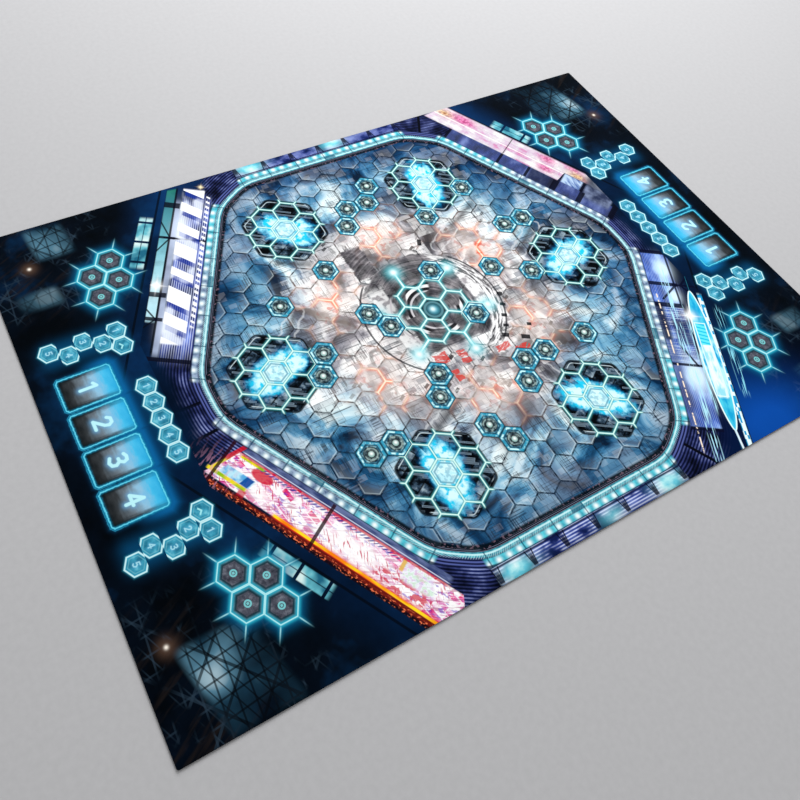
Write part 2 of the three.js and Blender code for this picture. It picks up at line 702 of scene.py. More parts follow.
def pad_offset(point, sector):
    """A point seen from the middle of its pad, in the print's own upright axes."""
    turn = sector * SIXTH
    return Point(
        point.x - maths("COSINE", turn) * PAD_DISTANCE,
        point.y - maths("SINE", turn) * PAD_DISTANCE,
    )


def paint_arena():
    """The print inside the arena."""
    place = print_point()
    point = place - LATTICE_MIDDLE
    local, middle = hex_cells(point, CELL)
    cell = Point(maths("ROUND", middle.x / (CELL / 2)), maths("ROUND", middle.y / (CELL * HEX_SLOPE)))
    reach = flat_hex(point)
    colour, edge, shaded = arena_floor(point, local, cell, reach)
    dashes = 0.55 + ease(cloud(point, 5, detail=3), 0.4, 0.6) * 0.45
    colour = mix(colour, "071626", stroke(edge, 0.5, 0.7) * dashes * 0.95)
    colour = mix(colour, "eafcff", stroke(edge - 1.7, 0.2, 0.6) * ease(shaded, 0.05, 0.3) * 0.3)
    colour = paint_warm_glow(colour, point, edge)
    colour = paint_middle(colour, point, edge)
    colour = paint_pads(colour, point, edge)
    colour = paint_targets(colour, point, local, middle, edge)
    rim = arena_rim(arena_point(place))
    colour = mix(colour, "0a3054", ease(rim, -40, -12) * 0.36)
    colour = mix(colour, "03080f", ease(rim, -14.5, -11.5) * 0.95)
    specks = ease(cloud(place, 3.5, detail=2), 0.58, 0.66)
    colour = mix(colour, "8a6f80", specks * ease(rim, -14.0, -12.0) * 0.5)
    return colour


# ------------------------------------------------------------ surround print


def paint_rail():
    """The arena's border: dark pipes, a lit blue-green rail and a row of white lamps."""
    point = arena_point(print_point())
    rim = arena_rim(point)
    folded, _ = six_fold(point, SIXTH / 2)
    along = folded.y
    grain = cloud(point, 5, detail=3)
    straight = ease(abs(along), 131, 126)
    lit = ease(abs(point.y) + (cloud(point, 60) - 0.5) * 60, 140, 190)

    # The strip that carries the lamps, blue-green by the long edges and dark slate blue elsewhere.
    slate = ramp(grain, (0.3, "3a4a76"), (0.7, "98aac6"))
    strip = mix(slate, ramp(grain, (0.3, "1a9cb2"), (0.7, "4cccdc")), lit)
    rows = ramp(abs(repeat(rim, SEAT_PITCH)) / (SEAT_PITCH / 2), (0.3, "5360a0"), (0.7, "11153a"))
    colour = mix(rows, strip, straight)
    pale_pipe = ramp(grain, (0.3, "27768e"), (0.7, "8ccdd8"))
    pipe = mix(pale_pipe, ramp(grain, (0.3, "14708c"), (0.7, "5cc0cc")), lit)
    colour = mix(colour, "142a4c", window(rim, -0.8, 1.2, 0.5) * 0.75)
    colour = mix(colour, pipe, ease(rim, -0.4, -1.2))
    ribs = ease(abs(repeat(along + rim, 2.4)), 0.7, 0.3) * window(rim, -3.8, 0.6, 0.5)
    colour = mix(colour, "d9f6f6", ribs * 0.35)
    colour = mix(colour, "05080e", ease(rim, -5.4, -6.2))
    colour = mix(colour, "7f86a0", stroke(repeat(rim + 6.4, 1.6), 0.12, 0.3) * ease(rim, -5.2, -5.8) * 0.7)
    colour = mix(colour, "d2fcff", stroke(rim + 3.6, 0.5, 0.7) * 0.8)

    lamp = Point(repeat(along, DOT_PITCH), folded.x - ARENA_SIDE - 4.8)
    colour = mix(colour, "b4e4f0", bloom(lamp.length(), 4.2) * straight * 0.6)
    colour = mix(colour, "f8ffff", bloom(lamp.length(), 2.6) * straight)
    joint = stroke(repeat(along, BRACKET_PITCH), 0.5, 0.6) * straight
    colour = mix(colour, "0f4660", joint * ease(rim, -6.0, -5.0) * 0.7)
    hatch = box(Point(along + 7, rim + 2), 8, 3.0)
    colour = mix(colour, "17607a", ease(hatch, 0.6, -0.4) * 0.75)
    return mix(colour, "141b3c", ease(rim, 6.8, 8.2) * 0.9)


def seat_rows(point, rim):
    """Rows of seats that follow the border: violet and navy stripes, with dark aisles between."""
    stripe = ease(abs(repeat(rim, SEAT_PITCH)), SEAT_PITCH * 0.3, SEAT_PITCH * 0.12)
    wear = cloud(point, 22, detail=3)
    colour = ramp(wear, (0.3, "030613"), (0.5, "0b1233"), (0.75, "1c2a6c"))
    lit = ramp(wear, (0.3, "1c2350"), (0.52, "4a5699"), (0.78, "a9b6e4"))
    colour = mix(colour, lit, stripe * (0.2 + wear * 0.85))
    angle = maths("ARCTAN2", point.y, point.x)
    aisle = abs(repeat(angle, AISLE_ANGLE)) * AISLE_RADIUS
    open_aisle = ease(chance(maths("ROUND", angle / AISLE_ANGLE), 1.0), 0.5, 0.6)
    return mix(colour, "060816", ease(aisle, 2.4, 1.2) * open_aisle)


def brackets(colour, side, reach):
    """Dark posts with two splayed legs along the rail."""
    x = abs(repeat(side.x, BRACKET_PITCH))
    splay = (reach - side.y) * 0.16 + 1.6
    legs = ease(abs(x - splay), 1.1, 0.4)
    core = ease(x, 2.6, 1.6) * (0.4 + 0.6 * ease(side.y, 12, 17))
    shown = largest(legs, core) * window(side.y, 8.8, reach, 1.0) * ease(abs(side.x), 134, 130)
    return mix(colour, "0a0c26", shown * 0.9)


def paint_top_and_bottom():
    """The two narrow stands along the mat's long edges."""
    point = arena_point(print_point())
    rim = arena_rim(point)
    side = Point(point.x, abs(point.y) - ARENA_SIDE)
    colour = seat_rows(point, rim)
    on_panel = ease(abs(side.x), 129, 125)
    tone = cloud(side.scaled(0.7, 1), 15, detail=3)
    fill = ramp(tone, (0.3, "121f56"), (0.52, "33489a"), (0.8, "7185c8"))
    below = point.y < 0
    hatch = abs(repeat(side.y + side.x * (1 - below) * 0.8, 3.1))
    slats = ease(hatch, 0.9, 0.35) * (0.35 + below * 0.5)
    fill = mix(fill, "dbe4ff", slats * ease(tone, 0.35, 0.6))
    glow = glow_at(side, -104, 20, 0.55, 11)
    glow = largest(glow, glow_at(side, 104, 20, 0.55, 11) * below)
    glow = largest(glow, glow_at(side, 22, 21, 0.6, 10) * (0.95 - below * 0.35))
    haze = ramp(tone, (0.3, "6fd0e2"), (0.5, "b8eef2"), (0.75, "f4ffff"))
    fill = mix(fill, haze, smallest(glow * 1.25, 1.0))
    fill = mix(fill, "10163e", stroke(side.y - 10.0, 0.6, 0.7) * 0.85)
    colour = mix(colour, fill, on_panel)
    colour = brackets(colour, side, 25.0)
    shade = ease(side.y, 18, 31) * (1 - glow * 0.8)
    return deepen(mix(colour, "040a20", shade * 0.6), 0.25)


def hall(point):
    """The dark hall behind everything: near black, with navy smoke and a blue glow by the arena."""
    smoke = cloud(point, 90, detail=4, roughness=0.6)
    colour = ramp(smoke, (0.32, "000307"), (0.55, "020a16"), (0.82, "062a4c"))
    near = beside(Point(abs(point.x), abs(point.y)), 30).y
    near_corner = ease(point.y + point.x * 0.15, 170, 290) + ease(point.x * 0.5 - point.y, 250, 420)
    return mix(colour, "0a4280", ease(near, 120, 45) * (smoke * 0.35 + near_corner * 0.35))


def behind_sign(point, rim, ending):
    """Seat rows that fade into the hall towards the mat's ends and the far side of a sign."""
    fade = largest(ease(rim, ending - 26, ending - 4), ease(abs(point.x), END_LINE - 26, END_LINE - 4))
    return mix(seat_rows(arena_point(point), rim), hall(point), fade)


def posts(colour, side, places, start, end, code="0b0f26"):
    """Upright posts across a stand: each place is a position along it and a half width."""
    shown = largest(*(stroke(side.x - place, half_width, 0.8) for place, half_width in places))
    return mix(colour, code, shown * window(side.y, start, end, 0.8) * 0.92)


def flare(colour, side, place, size, code="ffffff"):
    """A lamp that dazzles, with upright and level rays."""
    spot = side - place
    colour = mix(colour, code, bloom(spot.length(), size))
    level_ray = bloom(spot.x * 0.18, size * 0.3) * bloom(spot.y, size * 0.16)
    upright_ray = bloom(spot.x, size * 0.14) * bloom(spot.y * 0.3, size * 0.5)
    return mix(colour, code, largest(level_ray, upright_ray) * 0.8)


def slanted_bars(side, pitch, lean, start, end):
    """A row of leaning bars whose widths vary. They spell nothing."""
    x = side.x + side.y * lean
    number = maths("ROUND", x / pitch)
    luck = chance(number, 2.7)
    width = pitch * 0.16 + luck * (pitch * 0.17)
    bar = ease(abs(repeat(x, pitch)) - width, 0.5, -0.5)
    return bar * window(side.y, start, end, 0.7)


def sign_side(direction, ending):
    """One diagonal side of the arena as a sign sees it, with the seat rows and hall behind."""
    place = print_point()
    point = arena_point(place)
    rim = arena_rim(point)
    return beside(point, direction), behind_sign(place, rim, ending)


def paint_upper_left():
    """A stand with a dazzling white sign of plain leaning slabs."""
    side, colour = sign_side(150, 52)

    # Bright level rows behind the sign, and the haze round it.
    spread = window(side.x, -130, 98, 18)
    rows = ease(abs(repeat(side.y, 2.6)), 0.9, 0.4)
    blues = cloud(side.scaled(0.4, 1), 12, detail=2)
    back = ramp(blues, (0.3, "0c1550"), (0.55, "2f46a8"), (0.8, "8fa8ee"))
    back = mix(back, "dfe8ff", rows * 0.65)
    colour = mix(colour, back, spread * window(side.y, 8, 44, 1.5))
    haze = largest(glow_at(side, -84, 43, 0.4, 12), glow_at(side, 64, 42, 0.45, 8) * 0.8)
    colour = mix(colour, "f0f6ff", smallest(haze * 1.2, 1.0) * 0.9)
    upper = window(side.y, 45, 52, 1.5) * window(side.x, -126, 100, 8)
    colour = mix(colour, "cfdcf4", upper * (0.35 + cloud(side, 26) * 0.6))

    # The hall's windows above the sign.
    panes = window(side.y, 54, 65, 0.7) * window(side.x - side.y * 0.4, -170, 30, 2)
    pane_colour = ramp(
        side.x / 200 + 0.8,
        (0.05, "2f8f78"), (0.16, "3f8a94"), (0.5, "7fc4d0"), (0.9, "d0f0f8"),
    )
    colour = mix(colour, pane_colour, panes * smallest(0.5 + cloud(side, 16, detail=3) * 0.9, 1.0))
    right_pane = window(side.y, 54, 65, 0.7) * window(side.x, 26, 58, 1.5)
    colour = mix(colour, "bfe4ee", right_pane * cloud(side, 9, detail=2))
    colour = mix(colour, "050e1a", stroke(side.y - 53, 0.9, 0.8) * window(side.x, -150, 100, 4) * 0.85)
    struts = smallest(
        segment(side, (-67, 52), (-98, 70)), segment(side, (-67, 52), (-38, 70)),
        segment(side, (53, 54), (34, 72)), segment(side, (53, 54), (70, 70)),
    )
    colour = mix(colour, "07101e", stroke(struts, 0.7, 0.6) * 0.85)
    colour = posts(colour, side, ((-120, 4), (-67, 1.5), (19, 3), (53, 2)), 46, 66)
    colour = posts(colour, side, ((105, 2.2), (-67, 1.0)), 9, 60)

    # The sign itself, and a line of short dashes under it.
    reach = window(side.x, -150, 84, 2)
    glare = ease(cloud(side.scaled(0.7, 1), 24, detail=2), 0.42, 0.62)
    colour = mix(colour, "eef4ff", window(side.y, 18, 45, 2) * reach * glare * 0.8)
    shadow = slanted_bars(side - (7.0, 0), 34.0, 0.42, 17, 42)
    colour = mix(colour, "1d3fa8", shadow * reach * (1 - glare * 0.7) * 0.8)
    slabs = slanted_bars(side, 34.0, 0.42, 18, 45)
    colour = mix(colour, "fdfeff", slabs * reach)
    dashes = slanted_bars(side, 8.3, 0.5, 10, 15)
    colour = mix(colour, "ffffff", dashes * window(side.x, -142, 60, 2) * 0.95)
    colour = deepen(colour, 0.4)
    colour = flare(colour, side, (-156, 24), 2.6, "ffeec0")
    return flare(colour, side, (6, 59), 6)


def lower_left_sign(side):
    """Hot pink, red and white patches, ruled with fine lines."""
    inside, luck = plates(side.turned(0.35), 15, 6.5, 4.4)
    patches = cloud(side.scaled(0.6, 1.2), 9, detail=4, roughness=0.7)
    tone = luck * 0.45 + patches * 0.8
    lower = ease(side.y, 36, 28)
    pink = ramp(tone, (0.34, "dc104c"), (0.45, "f24f98"), (0.55, "f4b0dc"), (0.68, "ffffff"))
    pale = ramp(tone, (0.38, "e23a8c"), (0.51, "e48cc8"), (0.62, "f4dcec"), (0.78, "ffffff"))
    sign = mix(pale, pink, lower)
    sign = mix(sign, "ffffff", stroke(inside, 0.35, 0.5) * 0.8)
    streaks = cloud(side.turned(-0.5).scaled(0.12, 1.4), 2.4, detail=1)
    sign = mix(sign, "b02a78", ease(streaks, 0.4, 0.33) * 0.55)
    sign = mix(sign, "ffffff", ease(streaks, 0.6, 0.67) * 0.8)
    hot = largest(glow_at(side, 58, 38, 0.32, 13), glow_at(side, -48, 42, 0.6, 9) * 0.8)
    sign = mix(sign, "7a36c8", ease(cloud(side.scaled(0.5, 1.4), 5, detail=3), 0.6, 0.66) * 0.6)
    sign = mix(sign, "ffffff", smallest(hot * 1.2, 0.95))
    scribble = cloud(side.turned(0.9).scaled(0.2, 1.5), 2.6, detail=2, distortion=0.6)
    sign = mix(sign, "d01a58", ease(scribble, 0.4, 0.34) * ease(cloud(side, 24), 0.42, 0.6) * 0.8)
    panel = window(side.x + side.y * 0.3, -80, -46, 1.5) * window(side.y, 34.5, 45, 0.8)
    sign = mix(sign, ramp(cloud(side, 9), (0.4, "5fb8e6"), (0.6, "c4ecf8")), panel)
    sign = mix(sign, "1a5fae", panel * window(side.x + side.y * 0.3, -56, -47, 0.8))
    return mix(sign, "d8143a", ease((side - (-54, 26)).scaled(0.5, 1).length(), 7, 5.5) * 0.9)


def paint_lower_left():
    """A stand with a hot pink, red and yellow light sign, as plain patches of colour."""
    side, colour = sign_side(210, 50)
    sign = lower_left_sign(side)
    red_patches = ease(cloud(side.scaled(0.8, 1.2), 7, detail=3), 0.5, 0.58)
    sign = mix(sign, "d81f4a", red_patches * window(side.x, 84, 140, 3) * window(side.y, 36, 50, 2) * 0.8)
    confetti = ramp(cloud(side, 5, detail=2), (0.4, "e8d9f0"), (0.5, "f4fbff"), (0.6, "d6f0de"))
    strewn = window(side.x - side.y * 0.5, 92, 126, 3) * window(side.y, 19, 38, 2)
    sign = mix(sign, confetti, strewn * 0.8)
    sign = mix(sign, "e8c25a", window(side.x, 103, 107, 0.8) * window(side.y, 18, 30, 1) * 0.9)
    blue_bars = slanted_bars(side, 5.0, 1.3, 18.5, 22)
    sign = mix(sign, "2b3f9c", blue_bars * window(side.x, -66, 100, 3) * 0.85)

    left_edge = side.x + side.y * 0.45
    leaning = ease(left_edge, -82, -80) * ease(side.x + side.y * 0.2, 178, 174)
    ledge = ramp(cloud(side.scaled(0.3, 1), 6), (0.35, "3a4a7c"), (0.65, "7482ac"))
    ledge = mix(ledge, "d8dcec", stroke(side.y - 14.4, 0.3, 0.5) * 0.9)
    colour = mix(colour, ledge, window(side.x, -84, 150, 3) * window(side.y, 7, 17, 0.8))
    colour = mix(colour, sign, leaning * window(side.y, 16.5, 54, 0.8))
    neon = stroke(side.y - 53 - side.x * 0.008, 1.1, 0.8) * window(side.x, -24, 178, 2)
    colour = mix(colour, "e8341e", bloom(side.y - 54, 3.2) * window(side.x, -24, 178, 4))
    heat = ease(cloud(side.scaled(0.3, 1), 9), 0.35, 0.65)
    colour = mix(colour, mix(srgb("f98f14"), "ffe42a", heat), neon)
    frame = window(side.y, 45.5, 49.5, 0.7) * window(side.x, -106, -60, 1.5)
    frame = largest(frame, stroke(left_edge + 81, 1.6, 0.8) * window(side.y, 28, 48, 2))
    frame = largest(frame, window(side.y, 18, 21, 0.7) * window(side.x, -84, -56, 2))
    colour = mix(colour, ramp(cloud(side, 12), (0.35, "9fc81c"), (0.6, "f2e02a")), frame)
    red = stroke(left_edge + 82, 2.2, 0.8) * window(side.y, 9, 31, 2)
    red = largest(red, stroke(side.y - 17.2, 0.9, 0.9) * window(side.x, -86, 150, 4) * 0.8)
    red = largest(red, window(side.x, -66, -58, 1.0) * window(side.y, 49, 60, 1.0) * 0.8)
    colour = mix(colour, "cf1228", red * 0.9)

    reach = window(side.x, -104, 178, 6)
    colour = mix(colour, "1c060c", window(side.y, 56, 63.5, 1.0) * reach * 0.85)
    sparks = ease(cloud(side.scaled(0.7, 1.3), 2.6, detail=2), 0.54, 0.68) * window(side.y, 57.5, 63, 1.5)
    colour = mix(colour, "b8321c", window(side.y, 57.0, 60.0, 1.5) * reach * 0.45)
    colour = mix(colour, "ff8a5a", sparks * reach * 0.9)
    rays = ease(cloud(side.scaled(0.9, 0.2), 3), 0.5, 0.62)
    colour = mix(colour, "e8a8c8", rays * bloom((side - (-98, 50)).length(), 22) * 0.5)
    return posts(deepen(colour, 0.3), side, ((-98, 1.4), (21, 1.4)), 9, 63, "2a0814")


def paint_upper_right():
    """A stand with a soft pink and white sign, as plain patches of colour."""
    side, colour = sign_side(30, 66)

    # Blue panels between dark posts.
    blues = cloud(side.scaled(1, 0.5), 18, detail=4)
    fill = ramp(blues, (0.3, "101c4c"), (0.52, "33478c"), (0.78, "8596c6"))
    hatch = ease(abs(repeat(side.x * 0.4 + side.y, 2.2)), 0.6, 0.3)
    fill = mix(fill, "aebde4", hatch * 0.3)
    colour = mix(colour, fill, window(side.y, 8, 31, 1) * window(side.x, -126, 118, 3))
    grey = ramp(cloud(side, 16, detail=3), (0.35, "3a4668"), (0.7, "93a0bc"))
    colour = mix(colour, grey, window(side.y, 22, 50, 6) * window(side.x, -122, -82, 2))
    pale = ramp(cloud(side.turned(0.7).scaled(0.3, 1), 7, detail=3), (0.35, "5f7fb8"), (0.6, "c9dcf0"))
    colour = mix(colour, pale, window(side.y, 31, 50, 1) * window(side.x, -76, -49, 1.5))
    darken = window(side.x, -42, -6, 3) * window(side.y, 9, 31)
    colour = mix(colour, "16161f", darken * 0.6)
    places = ((-129, 3.4), (-82, 3.4), (-44, 4), (-3, 1.6), (39, 1.6), (120, 1.6))
    colour = posts(colour, side, places, 8.5, 31)
    colour = posts(colour, side, ((-129, 3.4), (-79, 1.4)), 30, 60)

    # The sign: cream and rose patches ruled with fine lines.
    inside, luck = plates(side, 21, 8.5, 6.1)
    tone = cloud(side.scaled(0.7, 1), 17, detail=4, roughness=0.65) * 0.8 + luck * 0.2
    sign = ramp(tone, (0.3, "d89cc2"), (0.42, "dccbdc"), (0.55, "e4e2e4"), (0.72, "ffffff"))
    rose = largest(
        glow_at(side, -18, 61, 0.6, 7), glow_at(side, -22, 42, 0.5, 6),
        glow_at(side, 114, 58, 0.45, 9), glow_at(side, -56, 66, 0.5, 6) * 0.8,
    )
    spots = ease(cloud(side, 4.5, detail=2), 0.4, 0.6)
    sign = mix(sign, ramp(spots, (0.2, "c43a8a"), (0.8, "ec8cc0")), smallest(rose * 1.2, 1.0) * 0.8)
    gold = largest(glow_at(side, -66, 56, 0.45, 6), glow_at(side, 142, 55, 0.6, 7))
    sign = mix(sign, ramp(spots, (0.3, "b0763a"), (0.7, "e4c48c")), gold * 0.85)
    sign = mix(sign, "fffaf4", stroke(side.y - 48.5, 0.5, 0.7) * 0.8)
    sign = mix(sign, "c9c4cf", stroke(inside, 0.2, 0.4) * 0.4)
    lower = 31 + window(side.x, -96, -46, 2) * 20
    in_sign = ease(side.y - lower, -1.5, 1.0) * ease(side.y, 70, 67)
    in_sign = in_sign * ease(side.x, -88, -70) * ease(side.x + side.y * 0.4, 178, 174)
    colour = mix(colour, sign, in_sign)
    fade = window(side.x, -124, -84, 8) * window(side.y, 50, 62, 4)
    colour = mix(colour, "b4bccb", fade * cloud(side.turned(0.6).scaled(0.2, 1), 5) * 0.9)
    colour = mix(colour, "2f2430", stroke(side.x - 39, 0.5, 0.6) * window(side.y, 31, 68) * 0.7)
    return deepen(mix(colour, "051222", ease(side.y, 67, 71) * 0.8), 0.5)


def light_lens(colour, side):
    """A long pointed lens of light with a bright rim, a pale middle and a ribbed core."""
    lens = side - (-33, 60)
    swell = largest(1 - lens.x * lens.x * (1 / 98**2), 0.0)
    gap = maths("POWER", swell, 0.62) * 12.5 - abs(lens.y)
    body = ease(gap, -0.6, 0.8)
    mottle = cloud(side.scaled(0.3, 1), 7, detail=3)
    colour = mix(colour, ramp(mottle, (0.35, "18a8dc"), (0.6, "4fd4ee")), body * 0.95)
    colour = mix(colour, "c8f6fb", body * window(lens.x, -50, 24, 6) * ease(mottle, 0.4, 0.6) * 0.8)
    colour = mix(colour, "e8ffff", stroke(gap - 0.4, 0.5, 0.7) * ease(abs(lens.x), 99, 96))
    core = box(lens - (-6, -1), 56, 6.0)
    pale = ramp(mottle, (0.35, "9fe8f4"), (0.52, "f4ffff"))
    colour = mix(colour, pale, ease(core, 1.0, -1.0) * window(lens.x, -56, 18, 2) * 0.9)
    ribs = ease(abs(repeat(lens.x + lens.y * 0.2, 5.4)), 2.0, 1.4)
    ribbed = mix(srgb("17c2e4"), "66e8f6", ribs)
    colour = mix(colour, ribbed, ease(box(lens - (31, -1), 15, 5.8), 0.5, -0.5))
    return mix(colour, "e8ffff", stroke(box(lens - (-3, -1), 51, 6.6), 0.4, 0.6) * 0.85)


def paint_lower_right():
    """A stand crossed by blue streaks of light and a long lens of light."""
    side, colour = sign_side(330, 64)
    colour = mix(colour, "03103a", window(side.x, -190, 60, 20) * ease(side.y, 30, 44) * 0.8)

    # Panels lit from behind, ruled with fine level and upright lines.
    tone = cloud(side.scaled(0.5, 1), 20, detail=4)
    fill = ramp(tone, (0.3, "0f2a7c"), (0.5, "2f62c4"), (0.72, "a8ccff"))
    level = ease(abs(repeat(side.y, 2.1)), 0.6, 0.25)
    upright = ease(cloud(side.scaled(1, 0.05), 1.8, detail=1), 0.5, 0.62)
    fill = mix(fill, "d4e6ff", level * 0.35)
    fill = mix(fill, "dff0ff", upright * window(side.x, -46, 40, 3) * 0.5)
    colour = mix(colour, fill, window(side.y, 8, 44, 2) * window(side.x, -130, 122, 2))
    glare = largest(
        glow_at(side, -62, 34, 0.6, 15), glow_at(side, 96, 34, 0.6, 10), glow_at(side, 54, 38, 0.7, 8),
    )
    colour = mix(colour, "e2f6ff", smallest(glare * 1.2, 1.0) * 0.92)
    colour = mix(colour, "4c5684", window(side.y, 8, 19, 4) * window(side.x, -130, 40, 4) * 0.65)
    colour = mix(colour, "12142c", window(side.y, 8, 18, 3) * window(side.x, -14, 42, 3) * 0.8)
    colour = mix(colour, "0a1446", window(side.y, 24, 44, 3) * window(side.x, -20, 16, 3) * 0.7)
    places = ((-132, 1.6), (-48, 1.4), (39, 3.0), (72, 2.4), (124, 2.6))
    colour = posts(colour, side, places, 8, 46, "080c2c")
    struts = smallest(
        segment(side, (72, 50), (56, 64)), segment(side, (72, 50), (92, 66)),
        segment(side, (40, 43), (122, 41)), segment(side, (72, 40), (72, 76)),
        segment(side, (72, 44), (48, 22)), segment(side, (-48, 40), (-22, 26)),
    )
    colour = mix(colour, "060c2a", stroke(struts, 1.0, 0.8) * 0.9)

    # Streaks and dashes of light.
    warm = ease(cloud(side.scaled(1, 0.2), 5), 0.45, 0.52) * stroke(side.y - 14.5, 0.5, 0.6)
    colour = mix(colour, "fff0dc", warm * window(side.x, -160, 58, 4))
    noise = cloud(side.scaled(0.08, 1.3), 2.4, detail=1)
    low_streaks = ease(noise, 0.52, 0.62) * window(side.y, 25, 36, 2) * window(side.x, -176, 96, 8)
    high_streaks = ease(noise, 0.48, 0.58) * window(side.y, 43, 47.5, 1.5) * window(side.x, -108, 40, 8)
    colour = mix(colour, "bff0ff", largest(low_streaks, high_streaks) * 0.95)
    dashes = ease(chance(maths("FLOOR", side.x / 5), maths("FLOOR", side.y / 2.4)), 0.4, 0.45)
    band = window(side.y, 68.5, 74.5, 0.8) * window(side.x, -152, 60, 4)
    colour = mix(colour, "2fb8ea", band * 0.85)
    colour = mix(colour, "f0ffff", dashes * band)
    tail = segment(side, (-156, 63), (-130, 60))
    colour = mix(colour, "e8f8ff", stroke(tail, 0.9, 0.7))
    colour = light_lens(deepen(colour, 0.3), side)
    return flare(colour, side, (25, 50), 7)


# ----------------------------------------------------------------- end prints

# Both ends are laid out as the left one. The cards run down from the first, the straight row of small
# cells runs up and down from its middle, and the two zigzag rows run outwards from near the arena.
TURN_MIDDLE = (1.1, -3.5)
CARD_PITCH = 44.95
CARD_HALF = (28.6, 19.9)
CARD_NUMERAL = 19.5
FIRST_CARD = (-395.4, 68.2)
CHAIN_HALF = 10.3
CHAIN_NUMERAL = 7.0
CHAIN_PITCH = 21.1
CHAIN_X = -341
ZIGZAG_PITCH = 18.35
ZIGZAG_X = -345
ZIGZAG_Y = 125.5
ZIGZAG_DROP = 10.5
MARKER_Y = 104
ZIGZAG_MIDDLE_Y = -0.9
CLUSTER_PITCH = 30.6
CLUSTER_MIDDLE = (-330.2, 196.5)
CLUSTER_MIRROR_Y = 0.75
CLUSTER_CELLS = ((13.25, 22.95), (13.25, -7.65), (-13.25, 7.65), (-13.25, -22.95))


def end_point(point):
    """Both ends of the mat as one: the right end is the left end turned half round."""
    half_turn = choose(point.x > 0, -1.0, 1.0)
    from_middle = point - TURN_MIDDLE
    return Point(from_middle.x * half_turn, from_middle.y * half_turn)


def paint_hall_roof(colour, point, end):
    """Steel trusses, grey-blue windows and a warm lamp in the corners of the hall."""
    streaks = cloud(point.turned(0.5).scaled(0.2, 1.6), 12, detail=3)
    away = ease(abs(end.y), 140, 230) * ease(-end.x, 330, 400)
    colour = mix(colour, "1c1716", ease(streaks, 0.5, 0.75) * away * 0.7)
    skew = end.x + end.y * 0.1
    panes = largest(
        window(skew, -364, -322, 5) * window(end.y, 250, 298, 5) * 0.7,
        window(skew, -408, -364, 5) * window(end.y, 184, 208, 5) * 0.35,
        window(skew + end.y * 0.12, -464, -396, 5) * window(end.y, -294, -212, 5) * 0.8,
    )
    skylights = ((-384, 272), (-392, 200), (-396, -240))
    bright = largest(*(bloom((end - spot).length(), 34) for spot in skylights))
    glow = bright * 0.55 + cloud(point, 40, detail=2) * 0.7 - 0.2
    sky = ramp(glow, (0.1, "081624"), (0.35, "21465c"), (0.6, "5f90a8"), (0.85, "cfe9f2"))
    colour = mix(colour, sky, panes * (0.4 + bright * 0.6))
    roof = ease(abs(end.y), 150, 180) * ease(-end.x, 290, 330)
    dim = ease(cloud(point, 30), 0.48, 0.7)
    for turn, pitch, half_width in (
        (0.1, 16.0, 0.5), (1.5, 14.0, 0.5), (0.8, 31.0, 0.9), (2.3, 37.0, 1.0), (2.0, 11.0, 0.25),
    ):
        beam = stroke(repeat(end.turned(turn).y, pitch), half_width, 0.7)
        colour = mix(colour, "03060c", beam * panes * 0.95)
        colour = mix(colour, "2a3c4c", beam * roof * dim * (1 - panes) * 0.45)
    for place in ((-403, 243), (-422, -205)):
        spot = (end - place).length()
        colour = mix(colour, "6a5040", bloom(spot, 8) * 0.55)
        colour = mix(colour, "fff6e8", bloom(spot, 1.9))
    return colour


def paint_outer_windows(colour, point):
    """Lit windows of the hall, in a band just outside the signs."""
    side = beside(Point(abs(point.x), abs(point.y)), 30)
    left = point.x < 0
    low = point.y < 0
    upper_right = window(side.x, 22, 78, 3) * (1 - left) * (1 - low)
    upper_left = window(side.x, 22, 100, 3) * left * (1 - low)
    lower_left = window(side.x, -8, 66, 3) * left * low
    band = window(side.y, 71, 87, 0.8) * (upper_right + upper_left + lower_left)
    mullion = largest(stroke(repeat(side.x, 31), 1.4, 0.6), stroke(side.y - 79, 0.4, 0.4) * 0.8)
    glass = ramp(cloud(point, 22), (0.3, "226a86"), (0.5, "6cc4d2"), (0.72, "e4fffc"))
    colour = mix(colour, glass, band * (1 - mullion) * 0.85)
    colour = mix(colour, "01050c", stroke(side.y - 69, 1.0, 0.8) * 0.8)
    deep = glow_at(point, 268, -292, 0.75, 52)
    colour = mix(colour, "0a4fb0", smallest(deep * 1.1, 1.0) * 0.8)
    streak_side = beside(point, 330)
    noise = cloud(streak_side.scaled(0.06, 1.2), 2.4, detail=1)
    streaks = ease(noise, 0.5, 0.6) * window(streak_side.y, 83, 92, 2) * window(streak_side.x, -84, 38, 8)
    return mix(colour, "8fe4f8", streaks * 0.9)


def chain_cells(end, mirrored):
    """The small numbered cells: the end seen from the nearest one, its number and how far outside."""
    row = smallest(largest(maths("ROUND", (3.15 - end.y) / CHAIN_PITCH), -2.0), 2.0)
    straight = Point(end.x - CHAIN_X, end.y - 3.5 + row * CHAIN_PITCH)
    column = smallest(largest(maths("ROUND", (end.x - ZIGZAG_X) / -ZIGZAG_PITCH), 0.0), 4.0)
    low = maths("FLOORED_MODULO", column, 2.0)
    away = abs(end.y - ZIGZAG_MIDDLE_Y)
    zigzag_x = end.x - ZIGZAG_X + column * ZIGZAG_PITCH
    zigzag_y = away - ZIGZAG_Y + low * ZIGZAG_DROP
    upper = end.y > -1.5
    zigzag = Point(zigzag_x, zigzag_y * choose(upper, 1.0, -1.0))
    far = mirrored.y > 80
    local = Point(choose(far, zigzag.x, straight.x), choose(far, zigzag.y, straight.y))
    number = choose(far, column + 1, row + 3)
    marker = Point(end.x - ZIGZAG_X, away - MARKER_Y)
    return local, number, flat_hex(local) - CHAIN_HALF, marker, flat_hex(marker) - CHAIN_HALF


